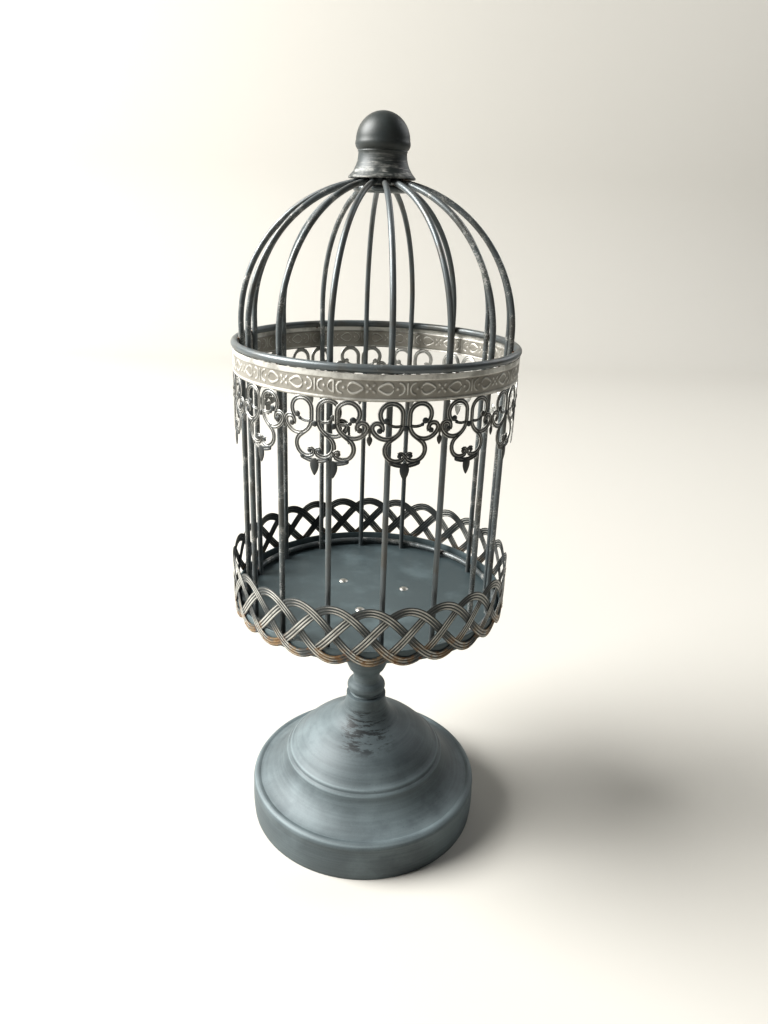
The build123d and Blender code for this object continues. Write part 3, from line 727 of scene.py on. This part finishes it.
def frieze_height(x, y):
    """How far the frieze stands out, from 0 to 1; x is measured from a motif's middle."""
    lip = smooth_hump(min(0.0, y - (FRIEZE_H - LIP_H)), 0.5)
    bead = smooth_hump(y - 0.9, 0.95)
    up = y - FRIEZE_H / 2
    gap_x = motif_pitch / 2 - abs(x)
    flower = max(smooth_hump(hypot(gap_x, up), 1.0), petal(gap_x, up))
    leaf = leaf_line(gap_x - 3.2, up)
    knob = smooth_hump(hypot(gap_x - 12.3, up), 1.0)
    curve = smooth_hump(hypot(abs(x) - 4.1, up) - 2.7, LINE_W)
    stroke = smooth_hump(x, LINE_W) * smooth_hump(max(0.0, abs(up) - 2.4), 0.8)
    return max(lip, bead, flower, leaf, knob, stroke, curve if abs(x) < 4.1 else 0.0)


def petal(x, y):
    """Four petals on the diagonals."""
    along = (abs(x) + abs(y)) / sqrt(2) - 2.1
    aside = (abs(x) - abs(y)) / sqrt(2)
    return smooth_hump(hypot(along / 1.5, aside / 0.8), 1.0)


def leaf_line(along, up):
    """The raised outline of a leaf that starts at a point and ends round."""
    share = along / LEAF_L
    if not 0 <= share <= 1:
        return 0.0
    half = 2.5 * sqrt(sin(pi * share ** 1.6))
    return smooth_hump(abs(up) - half, LINE_W + 0.2)


frieze_bench = bmesh.new()
frieze_relief = frieze_bench.verts.layers.float.new("relief")
columns = round((strip_end - strip_start) / FRIEZE_STEP)
strip_h = FRIEZE_H + TUCK
rows = round(strip_h / FRIEZE_STEP)
bmesh.ops.create_grid(frieze_bench, x_segments=columns, y_segments=rows, size=0.5)
for v in frieze_bench.verts:
    x = strip_start + (v.co.x + 0.5) * (strip_end - strip_start)
    y = (v.co.y + 0.5) * strip_h
    from_motif = (x - MOTIF_AZ * mm_a_degree + motif_pitch / 2) % motif_pitch - motif_pitch / 2
    v[frieze_relief] = frieze_height(from_motif, y)
    v.co = (x, y, RELIEF * v[frieze_relief])
wrapped(frieze_bench)
facing_out(frieze_bench)
bmesh.ops.solidify(frieze_bench, geom=frieze_bench.faces[:], thickness=STRIP_SHEET)
# The frieze's field is darker than its raised lines: partly its own beige, partly painted shade round
# the lines.
frieze_paint = strip_finish("frieze_paint", CHALK, FIELD, 0.8)
finished("stamped_frieze", frieze_bench, frieze_paint, "cage", "washed_paint", "band")

# %% [markdown]
# ## The scrolled valance
# Each motif is drawn with bent strands. Two strands rise together, each turns over into a
# round scroll above, swings out below into a curl that ends in a ball, and sends a branch
# down into a heart with two small curls; a collar and a pendant close it. A strand is a
# short cross-line with two ridges, spun round the middle of its arc, which is how a strip
# bent to arcs is best made. One half is made, mirrored and repeated round the strip.

# %% Valance sizes
SCROLL_W = 2.45
SCROLL_RIDGE = 0.36
CROSS_STEPS = 8
TWIN_X = 1.65
RING_R = 5.3
RING_END = -52
SIDE_Y = -10.4
BRANCH_ANGLE = 232
BRANCH_RUN = 4.0
CURL_R = 2.45
CURL_ANGLE = 335
CURL_TURN = 235
HEART_R = 5.5
HEART_END = -125
SMALL_CURL_R = 1.6
BALL_R = 1.4
ARM_R = 6.6
ARM_ANGLES = (246, 300)
ARM_W = 1.5
COLLAR_W = 13.6
COLLAR_BEND_R = 16.0
PENDANT = (4.8, 8.8)
LAP = 0.5
DROP_Y = -16.2
DROP = (2.8, 4.8)

curl_share = cos(radians(CURL_ANGLE))
side_reach = (motif_pitch + LAP) / 2 - SCROLL_W / 2 - CURL_R - TWIN_X
side_r = (side_reach + CURL_R * curl_share) / (1 + curl_share)
ring_centre = (TWIN_X + RING_R, LAP - SCROLL_W / 2 - RING_R)
side_centre = (TWIN_X + side_r, SIDE_Y)
arm_centre = (ring_centre[0] - 2.4, ring_centre[1] + 1.0)


def at_angle(centre, radius, angle):
    """The place on an arc at an angle in degrees."""
    return (centre[0] + radius * cos(radians(angle)), centre[1] + radius * sin(radians(angle)))


curl_centre = at_angle(side_centre, side_r - CURL_R, CURL_ANGLE)
branch = at_angle(side_centre, side_r, BRANCH_ANGLE)
branch_end = at_angle(branch, BRANCH_RUN, BRANCH_ANGLE + 90)
heart_centre = at_angle(branch_end, HEART_R, BRANCH_ANGLE)
small_centre = at_angle(heart_centre, HEART_R - SMALL_CURL_R, HEART_END)
heart_low = heart_centre[1] - HEART_R - SCROLL_W / 2
print("the heart's middle is", [round(v, 1) for v in heart_centre], "mm from the motif's middle")


# %% Strands, balls and drops
def cross_line(bm, width, level):
    """The line across a strand, at the middle of the bench: two ridges and a groove between."""
    line = []
    for k in range(CROSS_STEPS + 1):
        across = width * (k / CROSS_STEPS - 0.5)
        ridge = SCROLL_RIDGE * sin(2 * pi * across / width) ** 2
        line.append(bm.verts.new((across, 0, level + ridge)))
    return line, [bm.edges.new((a, b)) for a, b in zip(line, line[1:])]


def strand(bm, centre, radius, start, end, level=0.0, width=SCROLL_W):
    """A ridged strand bent to an arc, between two angles in degrees."""
    line, edges = cross_line(bm, width, level)
    bmesh.ops.translate(bm, verts=line, vec=(radius, 0, 0))
    bmesh.ops.rotate(bm, verts=line, cent=(0, 0, 0), matrix=Matrix.Rotation(radians(start), 3, "Z"))
    bmesh.ops.translate(bm, verts=line, vec=(*centre, 0))
    steps = max(6, round(abs(end - start) * radius / 60))
    bmesh.ops.spin(bm, geom=line + edges, cent=(*centre, 0), axis=(0, 0, 1),
                   angle=radians(end - start), steps=steps, use_merge=False)


def straight(bm, start, end, level=0.0, width=SCROLL_W):
    """A ridged strand between two places."""
    line, edges = cross_line(bm, width, level)
    way = Vector((end[0] - start[0], end[1] - start[1], 0))
    turn = atan2(way.y, way.x) - pi / 2
    bmesh.ops.rotate(bm, verts=line, cent=(0, 0, 0), matrix=Matrix.Rotation(turn, 3, "Z"))
    bmesh.ops.translate(bm, verts=line, vec=(*start, 0))
    pulled = bmesh.ops.extrude_edge_only(bm, edges=edges)["geom"]
    far_end = [g for g in pulled if isinstance(g, bmesh.types.BMVert)]
    bmesh.ops.translate(bm, verts=far_end, vec=way)


def ball(bm, place, radius, level=0.12):
    """A round end on a curl, flattened as stamping leaves it."""
    verts = bmesh.ops.create_uvsphere(bm, u_segments=12, v_segments=8, radius=radius)["verts"]
    bmesh.ops.scale(bm, vec=(1, 1, 0.38), verts=verts)
    bmesh.ops.translate(bm, verts=verts, vec=(*place, level))


def drop(bm, top, width, length, level=0.05):
    """A drop, round above and pointed below."""
    verts = bmesh.ops.create_uvsphere(bm, u_segments=16, v_segments=12, radius=1.0)["verts"]
    bmesh.ops.rotate(bm, verts=verts, cent=(0, 0, 0), matrix=Matrix.Rotation(pi / 2, 3, "X"))
    for v in verts:
        down = (1 - v.co.y) / 2
        narrowing = 1 - 0.6 * down ** 2
        v.co = (v.co.x * narrowing * width / 1.8, -down * length, v.co.z * 0.55)
    bmesh.ops.translate(bm, verts=verts, vec=(*top, level))


def sheet_from(bm):
    """Gives the open strands on the bench the thickness of the sheet."""
    bmesh.ops.remove_doubles(bm, verts=bm.verts, dist=0.001)
    bmesh.ops.reverse_faces(bm, faces=[f for f in bm.faces if f.normal.z < 0])
    bmesh.ops.solidify(bm, geom=bm.faces[:], thickness=STRIP_SHEET)


def joined(bm, other):
    """Puts another bench's work on this one."""
    carrier = bpy.data.meshes.new("carrier")
    other.to_mesh(carrier)
    other.free()
    bm.from_mesh(carrier)
    bpy.data.meshes.remove(carrier)


def motif():
    """Half of a motif, then its mirror image and the pieces on its middle line."""
    bm = bmesh.new()
    strand(bm, ring_centre, RING_R, RING_END, 184, 0.03)
    straight(bm, (TWIN_X, ring_centre[1]), (TWIN_X, SIDE_Y), 0.01)
    strand(bm, side_centre, side_r, 178, CURL_ANGLE)
    strand(bm, curl_centre, CURL_R, CURL_ANGLE, CURL_ANGLE + CURL_TURN, 0.02)
    strand(bm, arm_centre, ARM_R, *ARM_ANGLES, 0.05, ARM_W)
    straight(bm, branch, branch_end, 0.03)
    strand(bm, heart_centre, HEART_R, BRANCH_ANGLE - 180, HEART_END, 0.03)
    strand(bm, small_centre, SMALL_CURL_R, HEART_END, HEART_END - 190, 0.05, 1.8)
    sheet_from(bm)
    ball(bm, at_angle(ring_centre, RING_R - 1.6, RING_END), BALL_R * 1.1)
    ball(bm, at_angle(curl_centre, CURL_R - 0.8, CURL_ANGLE + CURL_TURN + 15), BALL_R)
    ball(bm, at_angle(small_centre, 0.7, HEART_END - 205), BALL_R * 0.85)
    ball(bm, at_angle(arm_centre, ARM_R, ARM_ANGLES[1]), 0.95)
    half = bm.verts[:] + bm.edges[:] + bm.faces[:]
    bmesh.ops.mirror(bm, geom=half, matrix=Matrix.Identity(4), merge_dist=0.0, axis="X")
    half_width = degrees(asin(COLLAR_W / 2 / COLLAR_BEND_R))
    collar_y = heart_low - 0.9
    collar = bmesh.new()
    bend_centre = (0, COLLAR_BEND_R + collar_y)
    strand(collar, bend_centre, COLLAR_BEND_R, 270 - half_width, 270 + half_width, 0.12)
    sheet_from(collar)
    joined(bm, collar)
    ball(bm, (0, SIDE_Y - 2.2), 1.5)
    drop(bm, (0, heart_low + LAP), *PENDANT, 0.25)
    for side in (-1, 1):
        ball(bm, (side * COLLAR_W * 0.49, collar_y + 1.4), 1.1)
    mesh = bpy.data.meshes.new("motif")
    bm.to_mesh(mesh)
    bm.free()
    return mesh


# %% Valance
motif_mesh = motif()
valance_bench = bmesh.new()
for k in range(-1, MOTIFS):
    one = bmesh.new()
    one.from_mesh(motif_mesh)
    x = (MOTIF_AZ + k * MOTIF_PITCH_AZ) * mm_a_degree
    bmesh.ops.translate(one, verts=one.verts, vec=(x, 0, 0))
    link = x + motif_pitch / 2
    neck = bmesh.new()
    straight(neck, (link, curl_centre[1]), (link, DROP_Y - LAP), 0.02, 1.2)
    sheet_from(neck)
    joined(one, neck)
    drop(one, (link, DROP_Y), *DROP)
    if k < 0:
        everything = one.verts[:] + one.edges[:] + one.faces[:]
        cut = bmesh.ops.bisect_plane(one, geom=everything, plane_co=(strip_start, 0, 0),
                                     plane_no=(1, 0, 0), clear_inner=True)["geom_cut"]
        bmesh.ops.holes_fill(one, edges=[g for g in cut if isinstance(g, bmesh.types.BMEdge)])
    joined(valance_bench, one)
bpy.data.meshes.remove(motif_mesh)
valance_relief = valance_bench.verts.layers.float.new("relief")
for v in valance_bench.verts:
    v[valance_relief] = min(1.0, max(0.0, v.co.z / SCROLL_RIDGE))
wrapped(valance_bench)
scroll_paint = strip_finish("scroll_paint", IRON_DARK, CHALK, 0.6)
finished("scrolled_valance", valance_bench, scroll_paint, "cage", "washed_paint", "band")

# %% [markdown]
# ## The knob
# A turned knob tops the dome: a hollow flange with a thin lip, a waisted neck with a fine
# line round it, and a ball. It is one outline again, with the recess under its flange.

# %% Knob
knob_r, knob_low, knob_top = reach("finial")
KNOB_BALL_R = 13.5
KNOB_NECK_R = 12.2
KNOB_LIP = 0.8
KNOB_SKIRT = 12.0
KNOB_HOLLOW = 4.5
KNOB_BOSS_R = 8.0
SCREW_BORE_R = 2.05


def knob_outline():
    """The knob from its flange up over the ball, then down its bore and out into the recess."""
    neck_z = knob_low + KNOB_SKIRT
    ball_z = knob_top - KNOB_BALL_R
    bore_z = neck_z + 1
    hollow_z = knob_low + KNOB_HOLLOW
    lip = (knob_r, knob_low + KNOB_LIP)
    neck = (KNOB_NECK_R, neck_z)
    over_line = (KNOB_NECK_R + 0.1, neck_z + 1.0)
    line = [(knob_r, knob_low), lip] + bowed(lip, neck, -1.3, 12)
    line += [(KNOB_NECK_R + 0.35, neck_z + 0.5), over_line]
    line += bowed(over_line, (KNOB_BALL_R, ball_z), 0.8)
    rounds = [radians(6 * k) for k in range(1, 15)]
    line += [(KNOB_BALL_R * cos(a), ball_z + KNOB_BALL_R * sin(a)) for a in rounds]
    line += [(0, knob_top), (0, bore_z), (SCREW_BORE_R, bore_z), (SCREW_BORE_R, knob_low)]
    line += [(KNOB_BOSS_R, knob_low), (KNOB_BOSS_R, hollow_z), (KNOB_BOSS_R + 1, hollow_z)]
    return line + bowed((KNOB_BOSS_R + 1, hollow_z), (knob_r - 1.4, knob_low), 0.8)


knob_paint = cloudy_finish("knob_paint", CHARCOAL, SLATE, 0.6, 0.4, 0.1, knob_low + 15)
turned_piece("top_knob", knob_outline(), 128, 0.12, knob_paint, "cage", "wire_paint", "finial")

# %% [markdown]
# ## Welds
# Each bar is tacked to the rings with a small lump of weld. The lumps are low balls
# pushed about by noise, so that no two look alike; hundreds of modelled beads would
# look no better at this size.

# %% Welds
WELD_R = 1.5


def lump(bm, azimuth, radius, z, size):
    """A small uneven ball of weld at a place round the cage."""
    verts = bmesh.ops.create_icosphere(bm, subdivisions=2, radius=size)["verts"]
    place = Vector((radius * sin(azimuth), -radius * cos(azimuth), z))
    for v in verts:
        v.co *= 0.85 + 0.5 * noise.noise((v.co + place) * 0.9)
    bmesh.ops.scale(bm, vec=(1, 1, 0.75), verts=verts)
    bmesh.ops.translate(bm, verts=verts, vec=place)


hoop_r, _, hoop_z = ring_of("rim_hoop")
_, _, base_ring_z = ring_of("base_ring")
hub_ring_r, _, hub_ring_z = ring_of("hub_ring")
weld_bench = bmesh.new()
for azimuth in bar_azimuths:
    lump(weld_bench, azimuth, BAR_CIRCLE_R + BAR_R, hoop_z + 0.6, WELD_R)
    lump(weld_bench, azimuth, BAR_CIRCLE_R + BAR_R, base_ring_z + 1.0, WELD_R * 0.8)
    lump(weld_bench, azimuth, hub_ring_r, hub_ring_z + 1.6, WELD_R * 0.8)
    lump(weld_bench, azimuth + 0.03, hoop_r, hoop_z - 2.2, WELD_R * 0.55)
lump(weld_bench, radians(52), knob_r - 2.5, knob_low - 0.4, WELD_R * 1.3)
finished("weld_lumps", weld_bench, weld, "cage", "wire_paint")

# %% [markdown]
# ## Small fixings
# The rod, nuts, washers, rivets and screw already have their true shape in the frame, so
# they keep it and only get their finish.

# %% Fixings
FIXINGS = {
    zinc_plate: ("stud", "foot_washer", "foot_nut", "cup_washer", "cup_nut", "hub_washer", "hub_screw"),
    rivet_steel: ("tray_rivets",),
    wire_paint: ("hub_plate",),
}
for finish, nodes in FIXINGS.items():
    for node in nodes:
        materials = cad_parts[node].data.materials
        materials.clear()
        materials.append(finish)
    print(finish.name, "on", ", ".join(nodes))

# %% [markdown]
# ## Floor and light
# A plain pale sweep, floor and wall in one, and soft light. The main light is a large
# window, high on the left. Both fills are weak, because wires read best with a dark side.
# The room beyond the sweep looks pale but gives little light, or it would fill that side.
# The sweep could be two planes; bending one leaves no line behind.

# %% Sweep
SWEEP_SIZE = 7.0
SWEEP_TURN = 1.6
SWEEP_BEND_R = 0.5
SWEEP_RISE = 2.6
SWEEP_PALE = shade(186, 184, 178)


def sweep():
    """A pale floor that turns up into a wall behind."""
    bm = bmesh.new()
    bmesh.ops.create_grid(bm, x_segments=1, y_segments=1, size=SWEEP_SIZE / 2)
    bmesh.ops.translate(bm, verts=bm.verts, vec=(0, SWEEP_TURN - SWEEP_SIZE / 2, 0))
    back = [e for e in bm.edges if all(v.co.y > SWEEP_TURN - 0.01 for v in e.verts)]
    bend_centre = (0, SWEEP_TURN, SWEEP_BEND_R)
    turn = bmesh.ops.spin(bm, geom=back + list(back[0].verts), cent=bend_centre, axis=(1, 0, 0),
                          angle=pi / 2, steps=16, use_merge=False)["geom_last"]
    top = [g for g in turn if isinstance(g, bmesh.types.BMEdge)]
    wall = bmesh.ops.extrude_edge_only(bm, edges=top)["geom"]
    wall_top = [g for g in wall if isinstance(g, bmesh.types.BMVert)]
    bmesh.ops.translate(bm, verts=wall_top, vec=(0, 0, SWEEP_RISE))
    mesh = bpy.data.meshes.new("sweep")
    bm.to_mesh(mesh)
    bm.free()
    mesh.shade_smooth()
    paint = Paint("sweep")
    paint.feed(paint.shader.inputs["Base Color"], SWEEP_PALE)
    paint.feed(paint.shader.inputs["Roughness"], 0.8)
    mesh.materials.append(paint.material)
    piece = bpy.data.objects.new("sweep", mesh)
    bpy.context.scene.collection.objects.link(piece)


sweep()
print("a sweep", SWEEP_SIZE, "m wide")

# %% Lights
LIT_POINT = Vector((0, 0, 0.22))
ROOM_PALE = shade(232, 230, 224)
ROOM_LIGHT = 0.05
ROOM_SEEN = 0.7


def soft_light(name, place, size, power, colour):
    """A round area light that faces the cage."""
    data = bpy.data.lights.new(name, "AREA")
    data.shape = "DISK"
    data.size = size
    data.energy = power
    data.color = colour
    light = bpy.data.objects.new(name, data)
    light.location = place
    light.rotation_euler = (LIT_POINT - Vector(place)).to_track_quat("-Z", "Y").to_euler()
    bpy.context.scene.collection.objects.link(light)


soft_light("window", (-2.1, -0.1, 1.9), 2.0, 225, (1.0, 0.99, 0.97))
soft_light("fill", (1.4, -2.4, 1.6), 2.0, 5, (1.0, 1.0, 1.0))
soft_light("back_fill", (1.7, 1.2, 1.5), 1.6, 15, (0.97, 0.98, 1.0))
world = bpy.data.worlds.new("room")
world.use_nodes = True
tree = world.node_tree
background = tree.nodes["Background"]
background.inputs["Color"].default_value = ROOM_PALE
light_path = tree.nodes.new("ShaderNodeLightPath")
strength = tree.nodes.new("ShaderNodeMapRange")
strength.inputs["To Min"].default_value = ROOM_LIGHT
strength.inputs["To Max"].default_value = ROOM_SEEN
tree.links.new(light_path.outputs["Is Camera Ray"], strength.inputs["Value"])
tree.links.new(strength.outputs["Result"], background.inputs["Strength"])
bpy.context.scene.world = world
bpy.context.scene.view_settings.view_transform = "Standard"
bpy.context.scene.view_settings.look = "Medium High Contrast"
print("three lights and a pale room")
